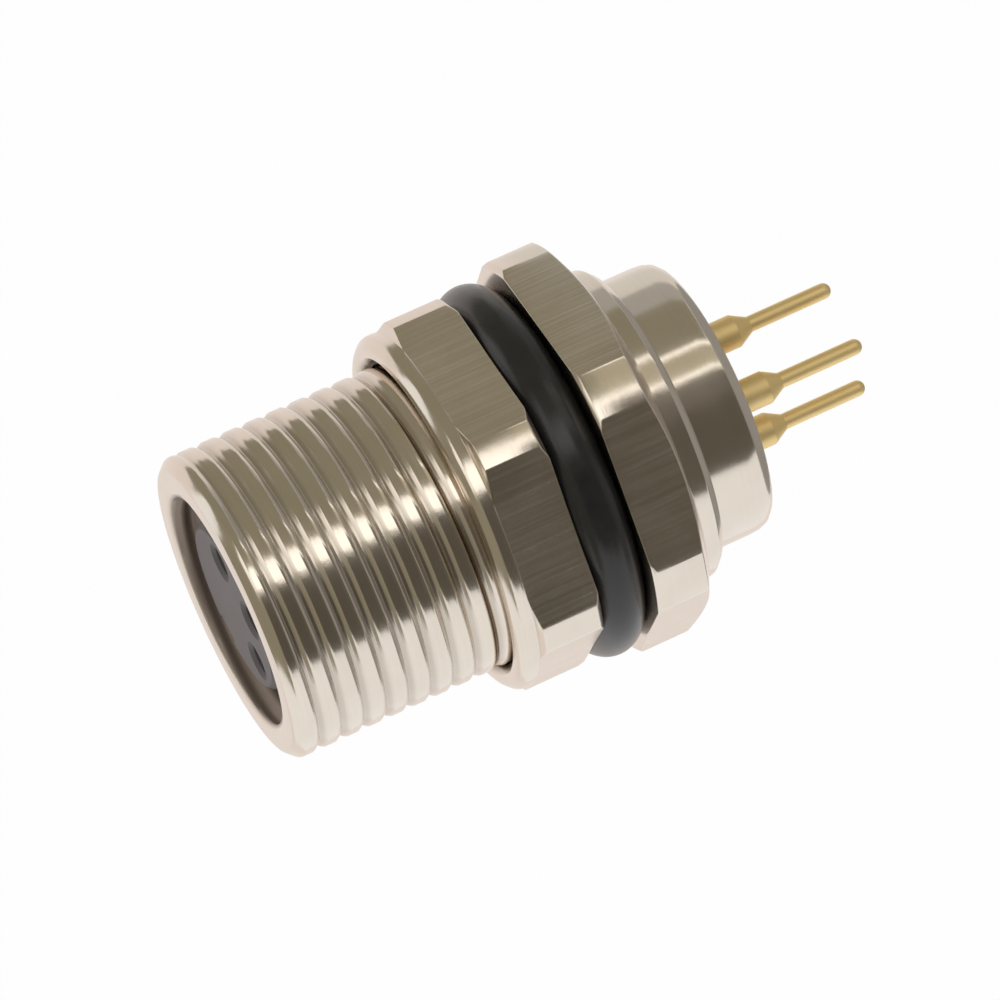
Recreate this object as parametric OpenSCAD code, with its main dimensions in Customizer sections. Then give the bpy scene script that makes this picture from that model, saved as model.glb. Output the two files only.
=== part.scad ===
// Circular sensor flange receptacle: a three-contact M8 socket in a turned, nickel-plated
// brass shell with an M10 x 0.75 panel thread, a hexagon flange, a panel nut and a seal.
// The origin is the centre of the flange face that meets the panel, and +Z runs along the
// axis towards the mating face.

/* [Panel thread] */
// Diameter over the crests of the panel thread
thread_d = 9.88; // [9.6:0.02:10]
// Distance from the flange face to the mating face
front_l = 11.4; // [10.6:0.05:13]
// Chamfer at the front edge of the barrel
front_chamfer = 0.3; // [0.1:0.05:0.4]
// Diameter of the undercut that carries the panel seal
neck_d = 8.8; // [8.6:0.05:8.9]
// Length of the undercut in front of the panel seal
neck_extra = 0.1; // [0.05:0.05:0.3]

/* [Hexagon flange] */
// Width across the flats of the flange
flange_af = 12; // [11.6:0.1:13]
// Diameter that the flange's corners are turned to
flange_corner_d = 13; // [12.8:0.1:13.6]
// Thickness of the flange
flange_t = 2.1; // [1.6:0.1:3]
// Angle of the chamfer turned on the flange's rear corners
flange_chamfer_angle = 27; // [20:1:35]
// Diameter of the flat left on the flange's rear face
flange_rear_d = 11.3; // [10.6:0.1:11.5]
// Edge break on the flange's front corners
flange_front_edge = 0.1; // [0.05:0.05:0.3]

/* [Rear boss] */
// Diameter of the collar behind the flange
collar_d = 10.2; // [9.6:0.1:10.5]
// Length of the collar
collar_l = 0.9; // [0.6:0.05:1.5]
// Chamfer on the collar's rear edge
collar_chamfer = 0.25; // [0.1:0.05:0.3]
// Diameter of the boss
boss_d = 8.9; // [8.8:0.1:9.2]
// Length of the boss
boss_l = 2.05; // [1.6:0.05:4]
// Radius of the boss's rear edge
boss_edge_r = 0.55; // [0.2:0.05:0.6]

/* [Socket] */
// Diameter over the crests of the M8 x 1 coupling thread in the mouth
mouth_d = 6.95; // [6.9:0.01:7.1]
// Diameter of the lead-in at the face of the mouth
mouth_lead_d = 7.9; // [7.6:0.05:8.6]
// Depth of the mouth from the mating face
mouth_depth = 7.6; // [6.5:0.1:7.8]
// Thickness of the web that the contact carrier seats against
web_t = 1; // [0.8:0.05:1.2]
// Diameter of the cavity behind the web
cavity_d = 7.2; // [7:0.05:7.3]

/* [Contact carrier] */
// Diameter of the carrier's nose
nose_d = 5.5; // [5.45:0.01:5.6]
// Distance of the nose behind the mating face
nose_recess = 0.3; // [0.1:0.05:1]
// Chamfer at the front edge of the nose
nose_chamfer = 0.15; // [0.05:0.05:0.25]
// Length of the carrier's base behind the web
base_l = 2.2; // [1.9:0.1:2.6]
// Width of the key groove
key_w = 0.9; // [0.6:0.05:1.2]
// Depth of the key groove
key_depth = 0.45; // [0.3:0.05:0.6]
// Diameter of the entry hole in front of each contact
entry_d = 1.06; // [1.04:0.01:1.15]
// Length of the entry hole
entry_l = 0.7; // [0.5:0.05:1]
// Countersink around each entry hole
entry_chamfer = 0.12; // [0.05:0.01:0.2]

/* [Contacts] */
// Radius of the circle that the contacts stand on
contact_circle_r = 1.74; // [1.66:0.02:1.82]
// Angle between neighbouring contacts
contact_pitch_angle = 72; // [68:1:90]
// Angle of the middle contact from the flange corner at -Y
contact_turn_angle = 30; // [0:1:60]
// Diameter of the socket barrel
socket_d = 1.4; // [1.34:0.01:1.46]
// Diameter of the socket bore, for a 1 mm pin
socket_bore_d = 1.02; // [1.01:0.01:1.06]
// Depth of the socket bore
socket_depth = 5; // [4:0.1:6]
// Width of the slot that makes the socket springy
slot_w = 0.15; // [0.1:0.01:0.2]
// Depth of the slot
slot_depth = 3.5; // [2.5:0.1:3.8]
// Diameter of the shoulder that locks the contact in
shoulder_d = 1.7; // [1.6:0.05:1.8]
// Length of the shoulder
shoulder_l = 0.6; // [0.4:0.05:0.7]
// Diameter of the stem that leaves the shell
stem_d = 1.05; // [0.9:0.01:1.1]
// Length of the stem that stands out of the shell
stem_l = 1.3; // [1:0.05:3]
// Length of the taper between stem and tail
taper_l = 0.5; // [0.2:0.05:0.7]
// Diameter of the solder tail
tail_d = 0.5; // [0.45:0.01:0.6]
// Length of the solder tail from its taper to its tip
tail_l = 2.8; // [2:0.05:3.5]

/* [Rear insulator] */
// Distance of the insulator behind the rear face of the boss
insulator_recess = 0.5; // [0.2:0.05:1]
// Chamfer on the insulator's rear edge
insulator_chamfer = 0.2; // [0.1:0.05:0.3]

/* [Panel nut] */
// Width across the flats of the nut
nut_af = 11.2; // [11:0.1:12]
// Diameter that the nut's corners are turned to
nut_corner_d = 12.4; // [12:0.1:12.6]
// Thickness of the nut
nut_t = 2.7; // [2.2:0.05:3.5]
// Diameter of the round collar at the nut's front
nut_collar_d = 11.1; // [10.9:0.05:11.15]
// Length of the collar
nut_collar_l = 0.6; // [0.3:0.05:0.9]
// Chamfer on the collar's front edge
nut_collar_chamfer = 0.12; // [0.05:0.01:0.15]
// Angle of the chamfer between the collar and the nut's corners
nut_chamfer_angle = 20; // [10:1:35]
// Chamfer on the nut's rear corners
nut_rear_chamfer = 0.15; // [0.05:0.05:0.2]
// Countersink at the front of the nut's bore
nut_countersink = 0.3; // [0.2:0.02:0.32]
// Countersink at the rear of the nut's bore
nut_rear_countersink = 0.16; // [0.1:0.02:0.2]
// Turn of the nut against the flange
nut_turn_angle = -2; // [-30:1:30]

/* [Seals] */
// Cord diameter of the panel seal
seal_cord_d = 1.7; // [1.6:0.02:1.8]
// Amount that the nut squeezes the panel seal
seal_squeeze = 0.05; // [0.02:0.01:0.1]
// Cord diameter of the seal around the carrier's base
inner_cord_d = 0.8; // [0.7:0.02:0.9]

/* [Clearances] */
// Radial clearance of the nut's bore over the thread crests
nut_clear = 0.05; // [0.02:0.01:0.08]
// Radial clearance between moulded pieces and the shell
carrier_clear = 0.04; // [0.02:0.01:0.08]
// Radial clearance between contacts and their holes
contact_clear = 0.03; // [0.02:0.01:0.05]
// Radial clearance between a seal and what it sits on
seal_clear = 0.02; // [0.01:0.01:0.04]

/* [Hidden] */
$fn = 96;
CONTACTS = 3;

// Overrun of a cut past the face it opens
over = 1;

// Stations along the axis
seal_top = seal_cord_d - seal_squeeze;
neck_l = seal_top + neck_extra;
web_front = front_l - mouth_depth;
web_rear = web_front - web_t;
base_rear = web_rear - base_l;
nose_front = front_l - nose_recess;
collar_rear = -flange_t - collar_l;
boss_rear = collar_rear - boss_l;
insulator_rear = boss_rear + insulator_recess;
stem_end = boss_rear - stem_l;
tail_end = stem_end - taper_l - tail_l;

// Radii that fits share
cavity_r = cavity_d / 2;
moulding_r = cavity_r - carrier_clear;
seal_groove_r = cavity_r - seal_clear - inner_cord_d - seal_clear;
seal_groove_w = inner_cord_d + 2 * seal_clear;
seal_z = web_rear - base_l / 2;
nut_bore_r = thread_d / 2 + nut_clear;
socket_front = nose_front - entry_l;
shoulder_front = base_rear + shoulder_l;

// Angle of a contact about the axis
function contact_angle(i) = -90 - contact_turn_angle - (i - 2) * contact_pitch_angle;

// A hexagonal bar with one corner at -Y
module hex_bar(af, z_low, z_high) {
    translate([0, 0, z_low])
        linear_extrude(z_high - z_low)
            rotate(-90)
                circle(d = af / cos(30), $fn = 6);
}

// The lathe profile of a hexagon piece: a disc of radius r whose two ends are coned
// from the end faces' radii to the turned corners
module coned_disc(r, z_low, r_low, slope_low, z_high, r_high, slope_high) {
    rotate_extrude()
        polygon([
            [0, z_low],
            [r_low, z_low],
            [r, z_low + (r - r_low) * slope_low],
            [r, z_high - (r - r_high) * slope_high],
            [r_high, z_high],
            [0, z_high]
        ]);
}

// Places its children at contact i
module at_contact(i) {
    rotate(contact_angle(i))
        translate([contact_circle_r, 0, 0])
            children();
}

module hexagon_flange() {
    corner_r = flange_corner_d / 2;
    intersection() {
        hex_bar(flange_af, -flange_t, 0);
        coned_disc(
            corner_r,
            -flange_t, flange_rear_d / 2, tan(flange_chamfer_angle),
            0, corner_r - flange_front_edge, 1
        );
    }
}

module threaded_barrel() {
    crest_r = thread_d / 2;
    neck_r = neck_d / 2;
    rotate_extrude()
        polygon([
            [0, -flange_t],
            [neck_r, -flange_t],
            [neck_r, neck_l - (crest_r - neck_r) / 2],
            [crest_r, neck_l],
            [crest_r, front_l - front_chamfer],
            [crest_r - front_chamfer, front_l],
            [0, front_l]
        ]);
}

// The collar and the boss, whose rear edge is a quarter round
module rear_boss() {
    collar_r = collar_d / 2;
    boss_r = boss_d / 2;
    rotate_extrude() {
        polygon([
            [0, -flange_t],
            [collar_r, -flange_t],
            [collar_r, collar_rear + collar_chamfer],
            [collar_r - collar_chamfer, collar_rear],
            [0, collar_rear]
        ]);
        translate([0, boss_rear])
            square([boss_r - boss_edge_r, boss_l]);
        translate([0, boss_rear + boss_edge_r])
            square([boss_r, boss_l - boss_edge_r]);
        translate([boss_r - boss_edge_r, boss_rear + boss_edge_r])
            circle(boss_edge_r);
    }
}

// The mouth, the hole through the web and the rear cavity
module shell_bores() {
    lead_depth = (mouth_lead_d - mouth_d) / 2;
    translate([0, 0, web_front])
        cylinder(d = mouth_d, h = mouth_depth + over);
    translate([0, 0, front_l - lead_depth])
        cylinder(d1 = mouth_d, d2 = mouth_lead_d + 2 * over, h = lead_depth + over);
    translate([0, 0, web_rear - over])
        cylinder(d = nose_d + 2 * carrier_clear, h = web_t + 2 * over);
    translate([0, 0, boss_rear - over])
        cylinder(r = cavity_r, h = web_rear - boss_rear + over);
}

module shell() {
    color("#c9c2b4")
        difference() {
            union() {
                threaded_barrel();
                hexagon_flange();
                rear_boss();
            }
            shell_bores();
        }
}

// The chamber of one contact: a closed entry, the socket's hole and the shoulder's seat
module contact_chamber() {
    translate([0, 0, socket_front - over])
        cylinder(d = entry_d, h = entry_l + 2 * over);
    translate([0, 0, nose_front - entry_chamfer])
        cylinder(d1 = entry_d, d2 = entry_d + 2 * (entry_chamfer + over), h = entry_chamfer + over);
    translate([0, 0, base_rear - over])
        cylinder(d = socket_d + 2 * contact_clear, h = socket_front - base_rear + over);
    translate([0, 0, base_rear - over])
        cylinder(d = shoulder_d + 2 * contact_clear, h = shoulder_l + over);
}

module contact_carrier() {
    nose_r = nose_d / 2;
    color("#77706f")
        difference() {
            rotate_extrude()
                difference() {
                    polygon([
                        [0, base_rear],
                        [moulding_r, base_rear],
                        [moulding_r, web_rear],
                        [nose_r, web_rear],
                        [nose_r, nose_front - nose_chamfer],
                        [nose_r - nose_chamfer, nose_front],
                        [0, nose_front]
                    ]);
                    translate([seal_groove_r, seal_z - seal_groove_w / 2])
                        square([over, seal_groove_w]);
                }
            for (i = [1 : CONTACTS])
                at_contact(i)
                    contact_chamber();
            translate([-key_w / 2, nose_r - key_depth, web_front])
                cube([key_w, key_depth + over, mouth_depth]);
        }
}

module carrier_seal() {
    color("#202020")
        rotate_extrude()
            translate([seal_groove_r + seal_clear + inner_cord_d / 2, seal_z])
                circle(d = inner_cord_d, $fn = 48);
}

// A turned contact: slotted socket, locking shoulder, stem and solder tail
module contact(i) {
    tail_r = tail_d / 2;
    color("#d8b765")
        at_contact(i)
            difference() {
                union() {
                    translate([0, 0, base_rear])
                        cylinder(d = socket_d, h = socket_front - base_rear);
                    translate([0, 0, base_rear])
                        cylinder(d = shoulder_d, h = shoulder_l);
                    translate([0, 0, stem_end])
                        cylinder(d = stem_d, h = shoulder_front - stem_end);
                    translate([0, 0, stem_end - taper_l])
                        cylinder(d1 = tail_d, d2 = stem_d, h = taper_l);
                    translate([0, 0, tail_end + tail_r])
                        cylinder(r = tail_r, h = stem_end - tail_end - tail_r);
                    translate([0, 0, tail_end + tail_r])
                        sphere(r = tail_r, $fn = 48);
                }
                translate([0, 0, socket_front - socket_depth])
                    cylinder(d = socket_bore_d, h = socket_depth + over);
                translate([-socket_d, -slot_w / 2, socket_front - slot_depth])
                    cube([2 * socket_d, slot_w, slot_depth + over]);
            }
}

module rear_insulator() {
    color("#2b2a2a")
        difference() {
            rotate_extrude()
                polygon([
                    [0, insulator_rear],
                    [moulding_r - insulator_chamfer, insulator_rear],
                    [moulding_r, insulator_rear + insulator_chamfer],
                    [moulding_r, base_rear],
                    [0, base_rear]
                ]);
            for (i = [1 : CONTACTS])
                at_contact(i)
                    translate([0, 0, insulator_rear - over])
                        cylinder(d = stem_d + 2 * contact_clear, h = base_rear - insulator_rear + 2 * over);
        }
}

// The panel seal, squeezed flat where it meets the flange and the nut
module panel_o_ring() {
    ring_r = neck_d / 2 + seal_clear + seal_cord_d / 2;
    color("#201f1e")
        rotate_extrude()
            intersection() {
                translate([ring_r, seal_top / 2])
                    circle(d = seal_cord_d, $fn = 64);
                translate([ring_r - seal_cord_d, 0])
                    square([2 * seal_cord_d, seal_top]);
            }
}

module panel_nut() {
    corner_r = nut_corner_d / 2;
    collar_r = nut_collar_d / 2;
    nut_top = seal_top + nut_t;
    shoulder = nut_top - nut_collar_l;
    rear_sink = nut_rear_countersink + over;
    front_sink = nut_countersink + over;
    color("#bdb5a5")
        difference() {
            union() {
                intersection() {
                    rotate(nut_turn_angle)
                        hex_bar(nut_af, seal_top, shoulder);
                    coned_disc(
                        corner_r,
                        seal_top, corner_r - nut_rear_chamfer, 1,
                        shoulder, collar_r, tan(nut_chamfer_angle)
                    );
                }
                translate([0, 0, shoulder - nut_collar_l])
                    cylinder(r = collar_r, h = 2 * nut_collar_l - nut_collar_chamfer);
                translate([0, 0, nut_top - nut_collar_chamfer])
                    cylinder(r1 = collar_r, r2 = collar_r - nut_collar_chamfer, h = nut_collar_chamfer);
            }
            translate([0, 0, seal_top - over])
                cylinder(r = nut_bore_r, h = nut_t + 2 * over);
            translate([0, 0, seal_top - over])
                cylinder(r1 = nut_bore_r + rear_sink, r2 = nut_bore_r, h = rear_sink);
            translate([0, 0, nut_top - nut_countersink])
                cylinder(r1 = nut_bore_r, r2 = nut_bore_r + front_sink, h = front_sink);
        }
}

shell();
contact_carrier();
carrier_seal();
contact(1);  // contact_1
contact(2);  // contact_2
contact(3);  // contact_3
rear_insulator();
panel_o_ring();
panel_nut();
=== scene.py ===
import math

import bmesh
import bpy
import numpy as np
from mathutils import Matrix, Vector


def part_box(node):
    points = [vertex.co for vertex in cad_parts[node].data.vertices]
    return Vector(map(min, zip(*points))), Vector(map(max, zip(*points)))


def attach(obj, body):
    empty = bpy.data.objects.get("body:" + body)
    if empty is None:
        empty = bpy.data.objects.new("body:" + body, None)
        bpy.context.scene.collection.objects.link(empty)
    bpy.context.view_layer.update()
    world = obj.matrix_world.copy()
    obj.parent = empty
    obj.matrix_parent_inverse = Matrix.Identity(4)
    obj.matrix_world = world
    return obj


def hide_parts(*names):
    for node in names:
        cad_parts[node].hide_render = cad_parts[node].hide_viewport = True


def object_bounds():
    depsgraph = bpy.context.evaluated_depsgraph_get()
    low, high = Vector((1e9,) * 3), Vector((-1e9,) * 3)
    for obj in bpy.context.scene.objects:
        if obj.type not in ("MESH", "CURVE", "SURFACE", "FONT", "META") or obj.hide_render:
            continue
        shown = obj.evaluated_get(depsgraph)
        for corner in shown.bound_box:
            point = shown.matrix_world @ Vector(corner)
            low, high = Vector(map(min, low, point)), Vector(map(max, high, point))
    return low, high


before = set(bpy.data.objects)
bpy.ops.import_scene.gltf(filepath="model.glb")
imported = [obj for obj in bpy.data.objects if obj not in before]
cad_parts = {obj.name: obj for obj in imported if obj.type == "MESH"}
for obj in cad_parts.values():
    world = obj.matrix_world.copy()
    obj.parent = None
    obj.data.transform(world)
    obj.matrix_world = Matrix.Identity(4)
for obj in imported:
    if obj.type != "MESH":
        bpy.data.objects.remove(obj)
cad_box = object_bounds()


# Shell
# One turned piece of brass under bright nickel. The barrel carries the fine panel thread outside
# and the coupling thread in its mouth; behind it are the undercut, the hexagon flange that is left
# of the bar stock, a collar and a boss with a rounded rear edge.

# Sizes of the pieces are in millimetres
MM = 0.001
shell_low, shell_high = (np.array(corner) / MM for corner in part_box("shell"))
FRONT_Z = shell_high[2]
BOSS_REAR_Z = shell_low[2]
FLANGE_FLAT_R = shell_high[0]
FLANGE_CORNER_R = shell_high[1]
HEX_CORNER = -math.pi / 2
HEX_BLEND = 0.06
EDGE = 0.05

THREAD_R = 4.94
THREAD_PITCH = 0.75
THREAD_DEPTH = 0.14
THREAD_CREST_SHARE = 0.42
THREAD_ROOT_SHARE = 0.04
THREAD_CREST_AT = 0.03
THREAD_ROWS = 10
THREAD_FADE = 0.28
THREAD_RUNOUT = 0.3
FRONT_CHAMFER = 0.30
FRONT_LAND = 0.16
FRONT_EDGE = 0.09
BARREL_EDGE = 0.2
CHAMFER_Z = FRONT_Z - FRONT_CHAMFER
LAND_Z = CHAMFER_Z - FRONT_LAND

NECK_R = 4.40
NECK_Z = 1.75
NECK_EDGE = 0.1
FLANGE_FACE_Z = 0.0
FLANGE_FRONT_EDGE = 0.10
FLANGE_BREAK = 0.02
FLANGE_REAR_Z = -2.10
FLANGE_REAR_R = 5.65
FLANGE_REAR_SLOPE = math.tan(math.radians(27))
FLANGE_REAR_EDGE = 0.08
COLLAR_R = 5.10
COLLAR_REAR_Z = -3.00
COLLAR_CHAMFER = 0.25
BOSS_R = 4.45
BOSS_FILLET = 0.06
BOSS_EDGE = 0.66

CAVITY_R = 3.60
MOUTH_LENGTH = 7.60
WEB_THICKNESS = 1.00
WEB_R = 2.79
WEB_FRONT_Z = FRONT_Z - MOUTH_LENGTH
WEB_REAR_Z = WEB_FRONT_Z - WEB_THICKNESS
MOUTH_R = 3.475
MOUTH_PITCH = 1.0
MOUTH_DEPTH = 0.35
MOUTH_CREST_SHARE = 0.35
MOUTH_ROOT_SHARE = 0.1
MOUTH_CREST_AT = 0.2
MOUTH_ROWS = 8
MOUTH_PLAIN = 0.4
MOUTH_RUNOUT = 0.6
ENTRY_R = 3.755
ENTRY_SLOPE = 0.45
LEAD_R = 3.95
LEAD_DEPTH = 0.075
LEAD_EDGE = 0.06
MOUTH_TOP_Z = FRONT_Z - LEAD_DEPTH


def smooth(value):
    """An S-shaped step from 0 to 1: three times the square less twice the cube."""
    value = np.clip(value, 0, 1)
    return value ** 2 * (3 - 2 * value)


def hex_angles(flat_r, corner_r, corner_at, coarse=2.0, fine=0.4, reach=2.0, least=0.12):
    """Angles round a hexagon piece: even steps, with finer steps on either side of the lines
    where the turned corners meet the flats, and no step under the least. Steps are in degrees."""
    half_strip = math.pi / 6 - math.acos(flat_r / corner_r)
    corners = corner_at + np.arange(6) * math.pi / 3
    lines = np.concatenate([corners - half_strip, corners + half_strip])
    steps = np.radians(np.arange(-reach, reach + fine / 2, fine))
    even = np.radians(np.arange(0, 360, coarse))
    merged = np.concatenate([even, (lines[:, None] + steps).ravel() % (2 * math.pi)])
    merged = np.unique(np.round(merged, 5))
    far_enough = np.append(True, np.diff(merged) > np.radians(least))
    return merged[far_enough]


def hex_radius(angle, flat_r, corner_r, corner_at):
    """Radius of a hexagon with turned corners: the smaller of the flat's distance over the cosine
    of the angle from its middle and the corner radius, blended over a short step."""
    from_flat = (angle - corner_at) % (math.pi / 3) - math.pi / 6
    flat = flat_r / np.cos(from_flat)
    share = np.clip(0.5 + 0.5 * (corner_r - flat) / HEX_BLEND, 0, 1)
    return flat * share + corner_r * (1 - share) - HEX_BLEND * share * (1 - share)


def outline(stations, angle, steps=5, most=0.45, least=1e-6):
    """Profile points carried round the axis. Each station is (radius, height, ease), and a station
    with ease is rounded by a quadratic curve that leaves each neighbouring line that far out, or
    at most the given share of the line."""
    corners = np.array([[part + 0 * angle for part in station[:2]] for station in stations])
    rows = []
    for k, (_, _, ease) in enumerate(stations):
        here = corners[k]
        if ease == 0:
            rows.append(here)
            continue
        arms = []
        for other in (corners[k - 1], corners[k + 1]):
            line = other - here
            length = np.maximum(np.hypot(*line), least)
            arms.append(here + line / length * np.minimum(ease, most * length))
        for t in np.linspace(0, 1, steps):
            rows.append((1 - t) ** 2 * arms[0] + 2 * t * (1 - t) * here + t ** 2 * arms[1])
    rows = np.array(rows)
    return rows[:, 0], rows[:, 1]


def vee(phase, crest_share, root_share):
    """Height of a vee thread, 1 on the crest and 0 in the root, from its phase in turns: flat crest
    and root of the given shares, and between them the mean of a straight and an S-shaped flank."""
    away = np.abs((phase + 0.5) % 1 - 0.5) * 2
    flank = np.clip((1 - root_share - away) / (1 - root_share - crest_share), 0, 1)
    return 0.5 * flank + 0.5 * smooth(flank)


def thread_rows(low, high, pitch, angle, crest_at, per_turn):
    """Heights and phases of a thread's grid: rows climb one pitch a turn, so each row keeps one
    phase, and rows are held between the thread's two ends, with enough of them to reach both."""
    count = int(math.ceil((high - low) / pitch * per_turn)) + per_turn + 2
    offset = (low - crest_at) / pitch
    first_phase = math.floor(offset * per_turn) / per_turn - 1
    phase = first_phase + np.arange(count)[:, None] / per_turn
    height = crest_at + pitch * (phase + angle / (2 * math.pi))
    height = np.clip(height, low, high)
    return height, (height - crest_at) / pitch - angle / (2 * math.pi)


def panel_thread(height, phase):
    """Radius of the panel thread: the crest radius less the groove, which fades in behind the
    front edge and out at the undercut."""
    fade = smooth((LAND_Z - height) / THREAD_FADE) * smooth((height - NECK_Z) / THREAD_RUNOUT)
    return THREAD_R - THREAD_DEPTH * fade * (1 - vee(phase, THREAD_CREST_SHARE, THREAD_ROOT_SHARE))


def coupling_thread(height, phase):
    """Radius of the thread in the mouth: the crest radius plus the groove, which fades out at the
    bottom of the mouth and opens into the lead-in at the front."""
    fade = smooth((height - WEB_FRONT_Z - MOUTH_PLAIN) / MOUTH_RUNOUT)
    groove = MOUTH_R + MOUTH_DEPTH * fade * (1 - vee(phase, MOUTH_CREST_SHARE, MOUTH_ROOT_SHARE))
    lead = ENTRY_R - ENTRY_SLOPE * (MOUTH_TOP_Z - height)
    return np.maximum(groove, lead)


turn = hex_angles(FLANGE_FLAT_R, FLANGE_CORNER_R, HEX_CORNER)
side_r = hex_radius(turn, FLANGE_FLAT_R, FLANGE_CORNER_R, HEX_CORNER)
flange_front_r = np.minimum(side_r, FLANGE_CORNER_R - FLANGE_FRONT_EDGE) - FLANGE_BREAK
flange_front_z = FLANGE_FACE_Z - FLANGE_BREAK - (side_r - flange_front_r)
flange_rear_z = FLANGE_REAR_Z + (side_r - FLANGE_REAR_R) * FLANGE_REAR_SLOPE
outer_z, outer_phase = thread_rows(
    NECK_Z, LAND_Z, THREAD_PITCH, turn, THREAD_CREST_AT, THREAD_ROWS
)
outer_r = panel_thread(outer_z, outer_phase)
inner_z, inner_phase = thread_rows(
    WEB_FRONT_Z, MOUTH_TOP_Z, MOUTH_PITCH, turn, MOUTH_CREST_AT, MOUTH_ROWS
)
inner_r = coupling_thread(inner_z, inner_phase)
front_land = outline(
    [
        (inner_r[-1], MOUTH_TOP_Z, 0),
        (LEAD_R, FRONT_Z, LEAD_EDGE),
        (THREAD_R - FRONT_CHAMFER, FRONT_Z, FRONT_EDGE),
        (THREAD_R, CHAMFER_Z, BARREL_EDGE),
        (THREAD_R, LAND_Z, 0),
    ],
    turn,
)
rear_body = outline(
    [
        (THREAD_R, NECK_Z, 0),
        (NECK_R, NECK_Z - (THREAD_R - NECK_R) / 2, NECK_EDGE),
        (NECK_R, FLANGE_FACE_Z, EDGE),
        (flange_front_r, FLANGE_FACE_Z, EDGE),
        (side_r, flange_front_z, EDGE),
        (side_r, flange_rear_z, EDGE),
        (FLANGE_REAR_R, FLANGE_REAR_Z, FLANGE_REAR_EDGE),
        (COLLAR_R, FLANGE_REAR_Z, FLANGE_REAR_EDGE),
        (COLLAR_R, COLLAR_REAR_Z + COLLAR_CHAMFER, EDGE),
        (COLLAR_R - COLLAR_CHAMFER, COLLAR_REAR_Z, EDGE),
        (BOSS_R, COLLAR_REAR_Z, BOSS_FILLET),
        (BOSS_R, BOSS_REAR_Z, BOSS_EDGE),
        (CAVITY_R, BOSS_REAR_Z, EDGE),
        (CAVITY_R, WEB_REAR_Z, EDGE),
        (WEB_R, WEB_REAR_Z, EDGE),
        (WEB_R, WEB_FRONT_Z, EDGE),
        (inner_r[0], WEB_FRONT_Z, 0),
    ],
    turn,
)


def band(radius, height, angle, slip=0):
    """A grid of points from radii and heights along the rows and angles along the columns; slip is
    how many rows on the last column meets the first, as a thread's rows do."""
    radius, height, angle = np.broadcast_arrays(radius, height, angle)
    places = np.stack([radius * np.cos(angle), radius * np.sin(angle), height], -1)
    return places * MM, slip


def woven(name, bands, material, weld=2e-7):
    """One closed mesh of bands that meet along equal rows: neighbouring grid points make four-sided
    faces, each band's last column closes on its first, and points nearer than weld become one."""
    points, faces, start = [], [], 0
    for grid, slip in bands:
        rows, cols = grid.shape[:2]
        index = start + np.arange(rows * cols).reshape(rows, cols)
        inner = [index[:-1, :-1], index[1:, :-1], index[1:, 1:], index[:-1, 1:]]
        faces.append(np.stack(inner, -1).reshape(-1, 4))
        last, first = index[: rows - slip, -1], index[slip:, 0]
        faces.append(np.stack([last[:-1], last[1:], first[1:], first[:-1]], -1))
        points.append(grid.reshape(-1, 3))
        start += rows * cols
    mesh = bpy.data.meshes.new(name)
    mesh.from_pydata(np.concatenate(points).tolist(), [], np.concatenate(faces).tolist())
    welded = bmesh.new()
    welded.from_mesh(mesh)
    bmesh.ops.remove_doubles(welded, verts=welded.verts, dist=weld)
    bmesh.ops.dissolve_degenerate(welded, edges=welded.edges, dist=weld)
    bmesh.ops.recalc_face_normals(welded, faces=welded.faces)
    welded.to_mesh(mesh)
    welded.free()
    mesh.polygons.foreach_set("use_smooth", np.ones(len(mesh.polygons), bool))
    mesh.materials.append(material)
    piece = bpy.data.objects.new(name, mesh)
    bpy.context.scene.collection.objects.link(piece)
    weighted = piece.modifiers.new("even_shading", "WEIGHTED_NORMAL")
    weighted.keep_sharp = True
    return piece


def join(socket, value):
    """Links a wire to a socket, or sets the socket to a plain value."""
    if isinstance(value, Wire):
        value.tree.links.new(value.socket, socket)
    else:
        socket.default_value = value


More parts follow.
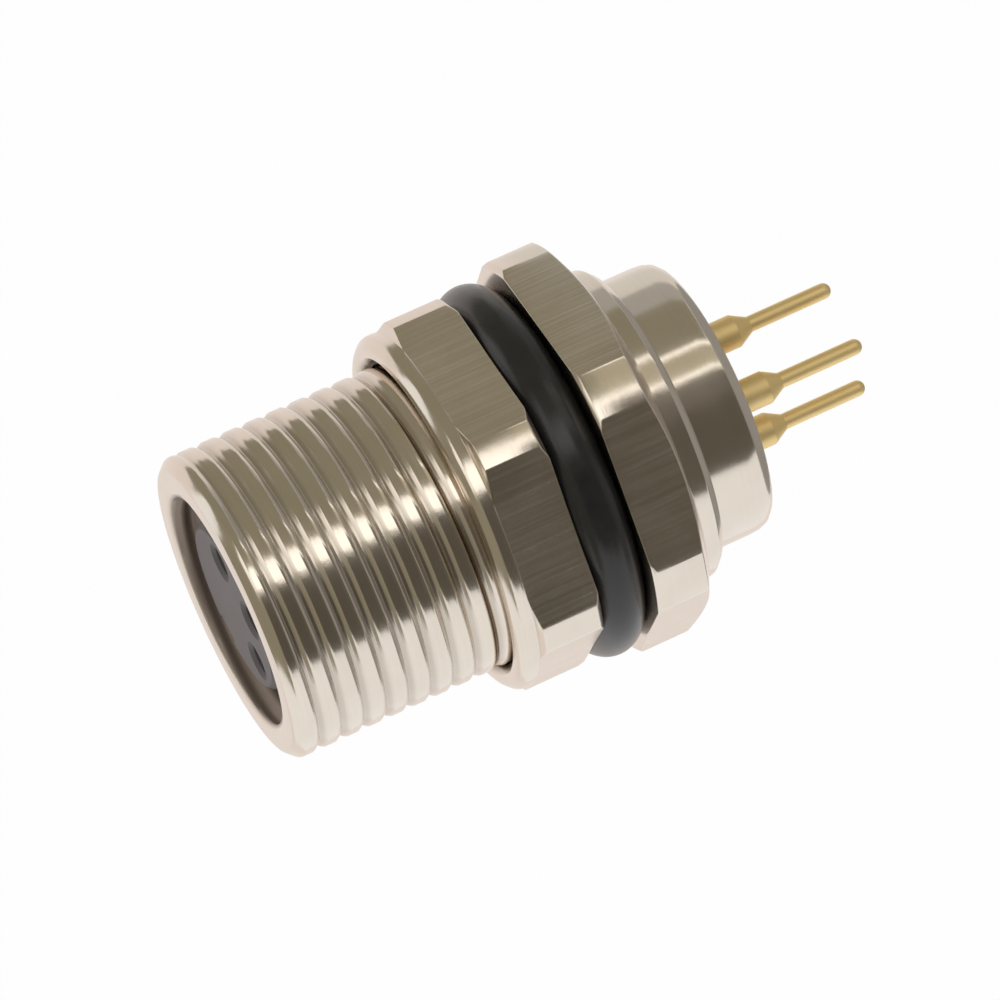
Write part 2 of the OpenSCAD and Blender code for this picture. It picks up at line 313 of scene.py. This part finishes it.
class Wire:
    """A shader value that takes part in sums: each operator adds one Math node to its tree."""

    # Places of the colour sockets on a Mix node
    FACTOR = 0
    COLOUR_A = 6
    COLOUR_B = 7
    COLOUR_OUT = 2

    def __init__(self, socket):
        self.socket = socket
        self.tree = socket.id_data

    def node(self, kind, settings, sockets, out=0):
        """Adds a node of a kind, makes its settings, then sets or links its sockets."""
        made = self.tree.nodes.new(kind)
        for key, value in settings.items():
            setattr(made, key, value)
        for key, value in sockets.items():
            join(made.inputs[key], value)
        return Wire(made.outputs[out])

    def reckon(self, operation, first, second):
        """The result of one operation on two values."""
        return self.node("ShaderNodeMath", {"operation": operation}, {0: first, 1: second})

    def __add__(self, other):
        return self.reckon("ADD", self, other)

    def __radd__(self, other):
        return self.reckon("ADD", other, self)

    def __sub__(self, other):
        return self.reckon("SUBTRACT", self, other)

    def __rsub__(self, other):
        return self.reckon("SUBTRACT", other, self)

    def __mul__(self, other):
        return self.reckon("MULTIPLY", self, other)

    def stored(self, name):
        """The value that the mesh stores under a name, 0 where it stores none."""
        return self.node("ShaderNodeAttribute", {"attribute_name": name}, {}, out="Fac")

    def stretch(self, factors):
        """This place, stretched by three factors."""
        return self.node("ShaderNodeVectorMath", {"operation": "MULTIPLY"}, {0: self, 1: factors})

    def noise(self, factors, detail=3.0, roughness=0.5):
        """Noise read at this place, stretched by three factors."""
        place = self.stretch(factors)
        sockets = {"Vector": place, "Scale": 1.0, "Detail": detail, "Roughness": roughness}
        return place.node("ShaderNodeTexNoise", {}, sockets)

    def blend(self, colour_a, colour_b):
        """A colour that goes from the first to the second as this value goes from 0 to 1."""
        sockets = {self.FACTOR: self, self.COLOUR_A: colour_a, self.COLOUR_B: colour_b}
        return self.node("ShaderNodeMix", {"data_type": "RGBA"}, sockets, out=self.COLOUR_OUT)

    def bump(self, strength, depth):
        """The normal of a surface that this value raises by a depth in millimetres."""
        sockets = {"Strength": strength, "Distance": depth * MM, "Height": self}
        return self.node("ShaderNodeBump", {}, sockets, out="Normal")


def new_finish(name):
    """A material, and the place on the piece in millimetres."""
    material = bpy.data.materials.new(name)
    material.use_nodes = True
    place = Wire(material.node_tree.nodes.new("ShaderNodeTexCoord").outputs["Object"])
    return material, place.stretch((1 / MM, 1 / MM, 1 / MM))


def feed(material, **values):
    """Links or sets the shader's sockets, whose names have spaces for underscores."""
    shader = material.node_tree.nodes["Principled BSDF"]
    for name, value in values.items():
        join(shader.inputs[name.replace("_", " ")], value)


NICKEL_BRIGHT = (0.83, 0.76, 0.68, 1)
NICKEL_SHADE = (0.68, 0.605, 0.52, 1)
# Painted shade: a dark colour laid into the thread's roots and the nut's bore
PAINTED_ROOT_SHADE = (0.20, 0.16, 0.12, 1)
# Painted shade: a dull brown, less metallic, laid on the wall of the mouth
PAINTED_MOUTH_SHADE = (0.24, 0.185, 0.145, 1)
PAINTED_MOUTH_SHADE_METAL = 0.35
NICKEL_ROUGHNESS = 0.09
NICKEL_GRAIN = 0.008


def nickel_finish(name):
    """Bright nickel over machined brass: fine rings where it was turned, fine lines along the axis
    where it was milled, cloudy gloss, painted shade that darkens the thread's roots and the nut's
    bore, and a painted dull brown shade, less metallic, on the wall of the mouth."""
    material, place = new_finish(name)
    milled = place.stored("milled")
    groove = place.stored("groove")
    inside = place.stored("inside")
    across = place.stretch((1, 1, 0))
    radius = across.node("ShaderNodeVectorMath", {"operation": "LENGTH"}, {0: across}, out="Value")
    height = place.node("ShaderNodeSeparateXYZ", {}, {0: place}, out="Z")
    section = place.node("ShaderNodeCombineXYZ", {}, {"X": radius, "Z": height})
    rings = section.noise((9.0, 1.0, 9.0), detail=4.0, roughness=0.6)
    lines = place.noise((11.0, 11.0, 0.16), roughness=0.6)
    clouds = place.noise((0.7, 0.7, 0.7))
    specks = place.noise((5.0, 5.0, 5.0), detail=2.0)
    grain = rings * (1 - milled) + lines * milled
    tint = clouds * 0.6 + grain * 0.4 + milled * (lines * 1.6 - 0.8)
    plate = tint.blend(NICKEL_SHADE, NICKEL_BRIGHT)
    # The colour takes painted shade in the thread's roots and on the wall of the mouth
    colour = inside.blend(groove.blend(plate, PAINTED_ROOT_SHADE), PAINTED_MOUTH_SHADE)
    wear = clouds * 0.09 + specks * 0.04 + milled * lines * 0.16
    dulled = groove * 0.2 + inside * 0.3
    feed(
        material,
        Base_Color=colour,
        Metallic=1 - inside * (1 - PAINTED_MOUTH_SHADE_METAL),
        Roughness=NICKEL_ROUGHNESS + wear + dulled,
        Normal=(grain + specks * 0.4).bump(strength=0.30, depth=NICKEL_GRAIN),
    )
    return material


def mark(piece, **values):
    """Stores named values, one for each point of the mesh."""
    for name, numbers in values.items():
        layer = piece.data.attributes.new(name, "FLOAT", "POINT")
        layer.data.foreach_set("value", np.asarray(numbers, np.float32))


def points_of(piece):
    """The mesh's points as radius, angle and height in millimetres."""
    flat = np.empty(len(piece.data.vertices) * 3)
    piece.data.vertices.foreach_get("co", flat)
    x, y, z = flat.reshape(-1, 3).T / MM
    return np.hypot(x, y), np.arctan2(y, x), z


def on_flats(radius, angle, flat_r, corner_r, corner_at, under=0.03, short=0.02):
    """True where a point lies on a hexagon's flats: at most a little under its side, and short of
    its turned corners."""
    side = hex_radius(angle, flat_r, corner_r, corner_at)
    return (radius > side - under) & (radius < corner_r - short)


shell = woven(
    "turned_shell",
    [
        band(*front_land, turn),
        band(outer_r, outer_z, turn, slip=THREAD_ROWS),
        band(*rear_body, turn),
        band(inner_r, inner_z, turn, slip=MOUTH_ROWS),
    ],
    nickel_finish("bright_nickel"),
)
FACE_MARGIN = 0.01
ROOT_MARGIN = 0.02
# Painted shade: its share in the thread's roots, then where it starts and fades in on the mouth's
# wall
PAINTED_ROOT_SHADE_SHARE = 0.32
PAINTED_MOUTH_SHADE_FROM = 0.03
PAINTED_MOUTH_SHADE_FADE = 0.06
reach, where, level = points_of(shell)
on_flange = (level < FLANGE_FACE_Z + FACE_MARGIN) & (level > FLANGE_REAR_Z)
on_barrel = (level > NECK_Z) & (level < LAND_Z) & (reach > THREAD_R - THREAD_DEPTH - ROOT_MARGIN)
in_mouth = (level > WEB_FRONT_Z) & (reach < LEAD_R)
# Painted shade in the thread's roots, darker towards the bottom of the groove
root = PAINTED_ROOT_SHADE_SHARE * smooth((THREAD_R - reach) / THREAD_DEPTH)
# Painted shade on the mouth's wall, fading in just behind the front face
wall = smooth((FRONT_Z - PAINTED_MOUTH_SHADE_FROM - level) / PAINTED_MOUTH_SHADE_FADE)
mark(
    shell,
    milled=on_flange & on_flats(reach, where, FLANGE_FLAT_R, FLANGE_CORNER_R, HEX_CORNER),
    groove=np.where(on_barrel, root, 0),
    inside=np.where(in_mouth, wall, 0),
)
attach(shell, "receptacle")
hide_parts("shell")


# Contacts
# Three turned brass contacts under gold. Each is a slotted socket with a locking shoulder, a stem
# that leaves the rear of the shell and a thin solder tail with a rounded tip.

GOLD_DEEP = (0.95, 0.70, 0.31, 1)
GOLD_PALE = (1.0, 0.83, 0.47, 1)
GOLD_ROUGHNESS = 0.50
GOLD_GRAIN = 0.01


def gold_finish(name):
    """Gold plate over turned brass: faint rings round each contact and a slightly cloudy gloss."""
    material, place = new_finish(name)
    rings = place.noise((0.6, 0.6, 16.0))
    clouds = place.noise((2.2, 2.2, 2.2))
    feed(
        material,
        Base_Color=(clouds * 0.7 + rings * 0.3).blend(GOLD_DEEP, GOLD_PALE),
        Metallic=1.0,
        Roughness=GOLD_ROUGHNESS + clouds * 0.14,
        Normal=rings.bump(strength=0.15, depth=GOLD_GRAIN),
    )
    return material


def dress(node, material):
    """Gives a node of the frame its material."""
    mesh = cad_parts[node].data
    mesh.materials.clear()
    mesh.materials.append(material)


gold = gold_finish("gold_plate")
for contact in ("contact_1", "contact_2", "contact_3"):
    dress(contact, gold)


# Contact carrier and rear insulator
# Moulded plastic. The grey carrier holds the sockets and shows its face in the mouth; the black
# insulator closes the rear of the shell round the stems.

GREY_DARK = (0.070, 0.061, 0.062, 1)
GREY_PALE = (0.108, 0.095, 0.097, 1)
GREY_ROUGHNESS = 0.46
BLACK_DARK = (0.02, 0.02, 0.02, 1)
BLACK_PALE = (0.045, 0.043, 0.042, 1)
BLACK_ROUGHNESS = 0.42
MOULD_GRAIN = 0.01


def moulded_finish(name, dark, pale, roughness):
    """Moulded plastic: slightly uneven colour, satin gloss and a fine eroded-steel grain."""
    material, place = new_finish(name)
    clouds = place.noise((1.1, 1.1, 1.1), detail=4.0)
    grain = place.noise((22.0, 22.0, 22.0), detail=2.0)
    feed(
        material,
        Base_Color=(clouds * 0.7 + grain * 0.3).blend(dark, pale),
        Roughness=roughness + grain * 0.12,
        Normal=grain.bump(strength=0.25, depth=MOULD_GRAIN),
    )
    return material


grey = moulded_finish("grey_moulding", GREY_DARK, GREY_PALE, GREY_ROUGHNESS)
dress("contact_carrier", grey)
black = moulded_finish("black_moulding", BLACK_DARK, BLACK_PALE, BLACK_ROUGHNESS)
dress("rear_insulator", black)


# Seals
# Black moulded rubber. The large ring sits on the undercut and is squeezed flat between the
# flange and the nut; the small one seals the carrier's base inside the shell.

SEAL_CORD_R = 0.85
SEAL_CLEARANCE = 0.02
SEAL_TOP_Z = 1.65
SEAL_RING_R = NECK_R + SEAL_CLEARANCE + SEAL_CORD_R
RUBBER_BLACK = (0.0075, 0.007, 0.0068, 1)
RUBBER_BLOOM = (0.017, 0.016, 0.0155, 1)
RUBBER_ROUGHNESS = 0.17
RUBBER_GRAIN = 0.01


def rubber_finish(name):
    """Nitrile rubber: nearly black, with a dull bloom in soft patches and a fine moulded grain."""
    material, place = new_finish(name)
    bloom = place.noise((1.6, 1.6, 1.6), detail=5.0, roughness=0.6)
    grain = place.noise((18.0, 18.0, 18.0))
    feed(
        material,
        Base_Color=bloom.blend(RUBBER_BLACK, RUBBER_BLOOM),
        Roughness=RUBBER_ROUGHNESS + bloom * 0.16,
        Normal=grain.bump(strength=0.3, depth=RUBBER_GRAIN),
    )
    return material


def squeezed_ring(ring_r, cord_r, low, high, around=240, across=48):
    """A ring of round cord cut flat by two faces: ring radius plus the cord's circle, with its
    height held between the faces."""
    angle = np.linspace(0, 2 * math.pi, around, endpoint=False)
    cord = np.append(np.linspace(0, 2 * math.pi, across, endpoint=False), 0)[:, None]
    radius = ring_r + cord_r * np.cos(cord)
    height = np.clip((low + high) / 2 + cord_r * np.sin(cord), low, high)
    return band(radius, height, angle)


rubber = rubber_finish("black_rubber")
seal_band = squeezed_ring(SEAL_RING_R, SEAL_CORD_R, FLANGE_FACE_Z, SEAL_TOP_Z)
panel_seal = woven("panel_seal", [seal_band], rubber)
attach(panel_seal, "receptacle")
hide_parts("panel_o_ring")
dress("carrier_seal", rubber)


# Panel nut
# A hexagon nut of nickel-plated brass that runs on the panel thread. Its flats are milled below a
# round collar that stands a little past them, its corners are coned off, and its bore is
# countersunk at both ends.

nut_low, nut_high = (np.array(corner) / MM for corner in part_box("panel_nut"))
NUT_LOW_Z = nut_low[2]
NUT_TOP_Z = nut_high[2]
NUT_FLAT_R = 5.60
NUT_CORNER_R = 6.20
NUT_CORNER_AT = HEX_CORNER - math.radians(2)
NUT_COLLAR_R = 5.85
NUT_COLLAR_HEIGHT = 0.60
NUT_COLLAR_CHAMFER = 0.28
NUT_COLLAR_EDGE = 0.14
NUT_SHOULDER_Z = NUT_TOP_Z - NUT_COLLAR_HEIGHT
NUT_SHOULDER_FILLET = 0.04
NUT_SLOPE = math.tan(math.radians(20))
NUT_REAR_EDGE = 0.15
NUT_BREAK = 0.02
NUT_BORE_R = 4.97
NUT_BORE_EDGE = 0.03
NUT_COUNTERSINK = 0.30
NUT_REAR_COUNTERSINK = 0.16
BORE_LOW_Z = NUT_LOW_Z + NUT_REAR_COUNTERSINK
BORE_TOP_Z = NUT_TOP_Z - NUT_COUNTERSINK
NUT_GROOVE = 0.22
NUT_GROOVE_SHARE = 0.16
NUT_GROOVE_FADE = 0.15
NUT_ROWS = 8

nut_turn = hex_angles(NUT_FLAT_R, NUT_CORNER_R, NUT_CORNER_AT)
nut_side = hex_radius(nut_turn, NUT_FLAT_R, NUT_CORNER_R, NUT_CORNER_AT)
nut_rear_r = np.minimum(nut_side, NUT_CORNER_R - NUT_REAR_EDGE)
nut_rear_z = NUT_LOW_Z + NUT_BREAK + (nut_side - nut_rear_r)
nut_cone_z = NUT_SHOULDER_Z - np.maximum(nut_side - NUT_COLLAR_R, 0) * NUT_SLOPE
bore_z, bore_phase = thread_rows(
    BORE_LOW_Z, BORE_TOP_Z, THREAD_PITCH, nut_turn, THREAD_CREST_AT, NUT_ROWS
)
from_end = np.minimum(bore_z - BORE_LOW_Z, BORE_TOP_Z - bore_z)
groove_height = vee(bore_phase, NUT_GROOVE_SHARE, NUT_GROOVE_SHARE)
bore_r = NUT_BORE_R + NUT_GROOVE * smooth(from_end / NUT_GROOVE_FADE) * groove_height
nut_body = outline(
    [
        (NUT_BORE_R, BORE_TOP_Z, 0),
        (NUT_BORE_R + NUT_COUNTERSINK, NUT_TOP_Z, NUT_BORE_EDGE),
        (NUT_COLLAR_R - NUT_COLLAR_CHAMFER, NUT_TOP_Z, NUT_COLLAR_EDGE),
        (NUT_COLLAR_R, NUT_TOP_Z - NUT_COLLAR_CHAMFER, NUT_COLLAR_EDGE),
        (NUT_COLLAR_R, NUT_SHOULDER_Z, NUT_SHOULDER_FILLET),
        (nut_side, nut_cone_z, EDGE),
        (nut_side, nut_rear_z, EDGE),
        (nut_rear_r - NUT_BREAK, NUT_LOW_Z, EDGE),
        (NUT_BORE_R + NUT_REAR_COUNTERSINK, NUT_LOW_Z, NUT_BORE_EDGE),
        (NUT_BORE_R, BORE_LOW_Z, 0),
    ],
    nut_turn,
)
nut = woven(
    "hexagon_nut",
    [band(*nut_body, nut_turn), band(bore_r, bore_z, nut_turn, slip=NUT_ROWS)],
    nickel_finish("nut_nickel"),
)
reach, where, level = points_of(nut)
on_side = on_flats(reach, where, NUT_FLAT_R, NUT_CORNER_R, NUT_CORNER_AT)
in_bore = reach < NUT_BORE_R + NUT_GROOVE
# Painted shade in the nut's bore, darker deeper into the bore
painted_bore_shade = np.clip((NUT_TOP_Z - level) / NUT_COUNTERSINK, 0, 1)
mark(
    nut,
    milled=on_side & (level < NUT_SHOULDER_Z),
    groove=np.where(in_bore, painted_bore_shade, 0),
)
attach(nut, "nut")
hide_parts("panel_nut")


# Studio
# A pale floor well below the part, even white light from all round, and soft cards about the part
# that the bright metal mirrors. The cards show in reflections only.

# Sizes of the studio are in metres
VIEW_AZIMUTH = math.radians(-11.75)
VIEW_ELEVATION = math.radians(12.17)
VIEW_ROLL = math.radians(-114.34)
VIEW_DISTANCE = 0.220
VIEW_AIM = Vector((-0.257, 0.46, 2.165)) * MM
LENS = 260.5
SENSOR = 36.0
NEAREST = 0.01
FARTHEST = 20
FLOOR_DROP = 0.24
FLOOR_HALF = 6.0
FLOOR_WHITE = (0.99, 0.99, 0.99, 1)
WORLD_WHITE = (1, 1, 1, 1)

# Colours of the cards, then their edges as radius and height
OLIVE = (0.98, 0.90, 0.66, 1)
DUSK = (0.82, 0.74, 0.58, 1)
LAMP = (1.0, 0.97, 0.91, 1)
PALE = (1.0, 0.92, 0.875, 1)
WALL_LOW = (0.30, -0.22)
WALL_HIGH = (0.30, 0.26)
LID_INNER = (0.12, 0.26)
CENTRE_OUTER = (0.13, 0.262)
CENTRE_INNER = (0.002, 0.262)
LAMP_OUTER = (0.30, 0.255)
LAMP_INNER = (0.12, 0.255)
REAR_OUTER = (0.26, -0.20)
REAR_INNER = (0.002, -0.20)
BOSS_LOW = (0.05, -0.045)
BOSS_HIGH = (0.05, -0.0088)
COLLAR_HIGH = (0.05, -0.0110)


def plain_mesh(name, points, faces, material):
    """An object from lists of points and faces."""
    mesh = bpy.data.meshes.new(name)
    mesh.from_pydata(points, [], faces)
    mesh.materials.append(material)
    made = bpy.data.objects.new(name, mesh)
    bpy.context.scene.collection.objects.link(made)
    return made


def glow(name, colour, strength):
    """A surface that shines evenly."""
    material = bpy.data.materials.new(name)
    material.use_nodes = True
    tree = material.node_tree
    tree.nodes.clear()
    shine = tree.nodes.new("ShaderNodeEmission")
    shine.inputs["Color"].default_value = colour
    shine.inputs["Strength"].default_value = strength
    sink = tree.nodes.new("ShaderNodeOutputMaterial")
    tree.links.new(shine.outputs[0], sink.inputs["Surface"])
    return material


def card(name, first, last, colour, strength, low=WALL_LOW, high=WALL_HIGH, count=24):
    """A card bent round the axis between two angles from the camera's direction, in degrees and
    positive towards -X, with a lower and an upper edge. It shows in reflections only: it lights
    no matt surface and casts no shadow."""
    around = np.radians(np.linspace(first, last, count)) - VIEW_AZIMUTH
    edge = np.stack([-np.sin(around), -np.cos(around)], -1)
    rows = [
        np.column_stack([edge * radius, np.full(count, height)])
        for radius, height in (low, high)
    ]
    faces = [(k, k + 1, count + k + 1, count + k) for k in range(count - 1)]
    made = plain_mesh(name, np.concatenate(rows).tolist(), faces, glow(name, colour, strength))
    made.visible_camera = False
    made.visible_diffuse = False
    made.visible_shadow = False


card("camera_side_card", -2, 60, DUSK, 0.125)
card("strip_card", -21, -2, LAMP, 1.6)
card("upper_card", -125, -21, OLIVE, 0.29)
card("front_card", -95, 95, OLIVE, 0.30, WALL_HIGH, LID_INNER)
card("front_centre_card", -180, 180, OLIVE, 0.30, CENTRE_OUTER, CENTRE_INNER)
card("front_lamp", -46, -3, LAMP, 1.2, LAMP_OUTER, LAMP_INNER)
card("far_card", 150, 235, PALE, 0.89)
card("rear_card", -180, 180, LAMP, 0.34, REAR_OUTER, REAR_INNER)
card("boss_dusk_card", -16, 62, DUSK, 0.15, BOSS_LOW, BOSS_HIGH)
card("boss_low_lamp", -19.5, -16, LAMP, 1.8, BOSS_LOW, BOSS_HIGH)
card("boss_mid_card", -37, -19.5, OLIVE, 0.50, BOSS_LOW, BOSS_HIGH)
card("boss_high_lamp", -40.5, -37, LAMP, 1.8, BOSS_LOW, BOSS_HIGH)
card("boss_pale_card", -110, -84, LAMP, 0.45, BOSS_LOW, COLLAR_HIGH)
card("boss_top_card", -145, -110, LAMP, 0.78, BOSS_LOW, COLLAR_HIGH)

floor_paint = bpy.data.materials.new("floor_paint")
floor_paint.use_nodes = True
feed(floor_paint, Base_Color=FLOOR_WHITE, Roughness=1.0, Specular_IOR_Level=0.0)
floor_z = cad_box[0][2] - FLOOR_DROP
floor_corners = [(-1, -1), (1, -1), (1, 1), (-1, 1)]
floor_points = [(x * FLOOR_HALF, y * FLOOR_HALF, floor_z) for x, y in floor_corners]
plain_mesh("floor", floor_points, [(0, 1, 2, 3)], floor_paint)

scene = bpy.context.scene
scene.view_settings.view_transform = "Standard"
world = bpy.data.worlds.new("white_studio")
scene.world = world
world.use_nodes = True
world.node_tree.nodes["Background"].inputs["Color"].default_value = WORLD_WHITE
world.node_tree.nodes["Background"].inputs["Strength"].default_value = 1.0

lens = bpy.data.cameras.new("camera")
lens.lens = LENS
lens.sensor_width = SENSOR
lens.clip_start = NEAREST
lens.clip_end = FARTHEST
camera = bpy.data.objects.new("camera", lens)
scene.collection.objects.link(camera)
scene.camera = camera
back = Vector(
    (
        math.sin(VIEW_AZIMUTH) * math.cos(VIEW_ELEVATION),
        -math.cos(VIEW_AZIMUTH) * math.cos(VIEW_ELEVATION),
        math.sin(VIEW_ELEVATION),
    )
)
level_view = (-back).to_track_quat("-Z", "Y").to_matrix()
camera.matrix_world = (
    Matrix.Translation(VIEW_AIM + back * VIEW_DISTANCE)
    @ (level_view @ Matrix.Rotation(VIEW_ROLL, 3, "Z")).to_4x4()
)
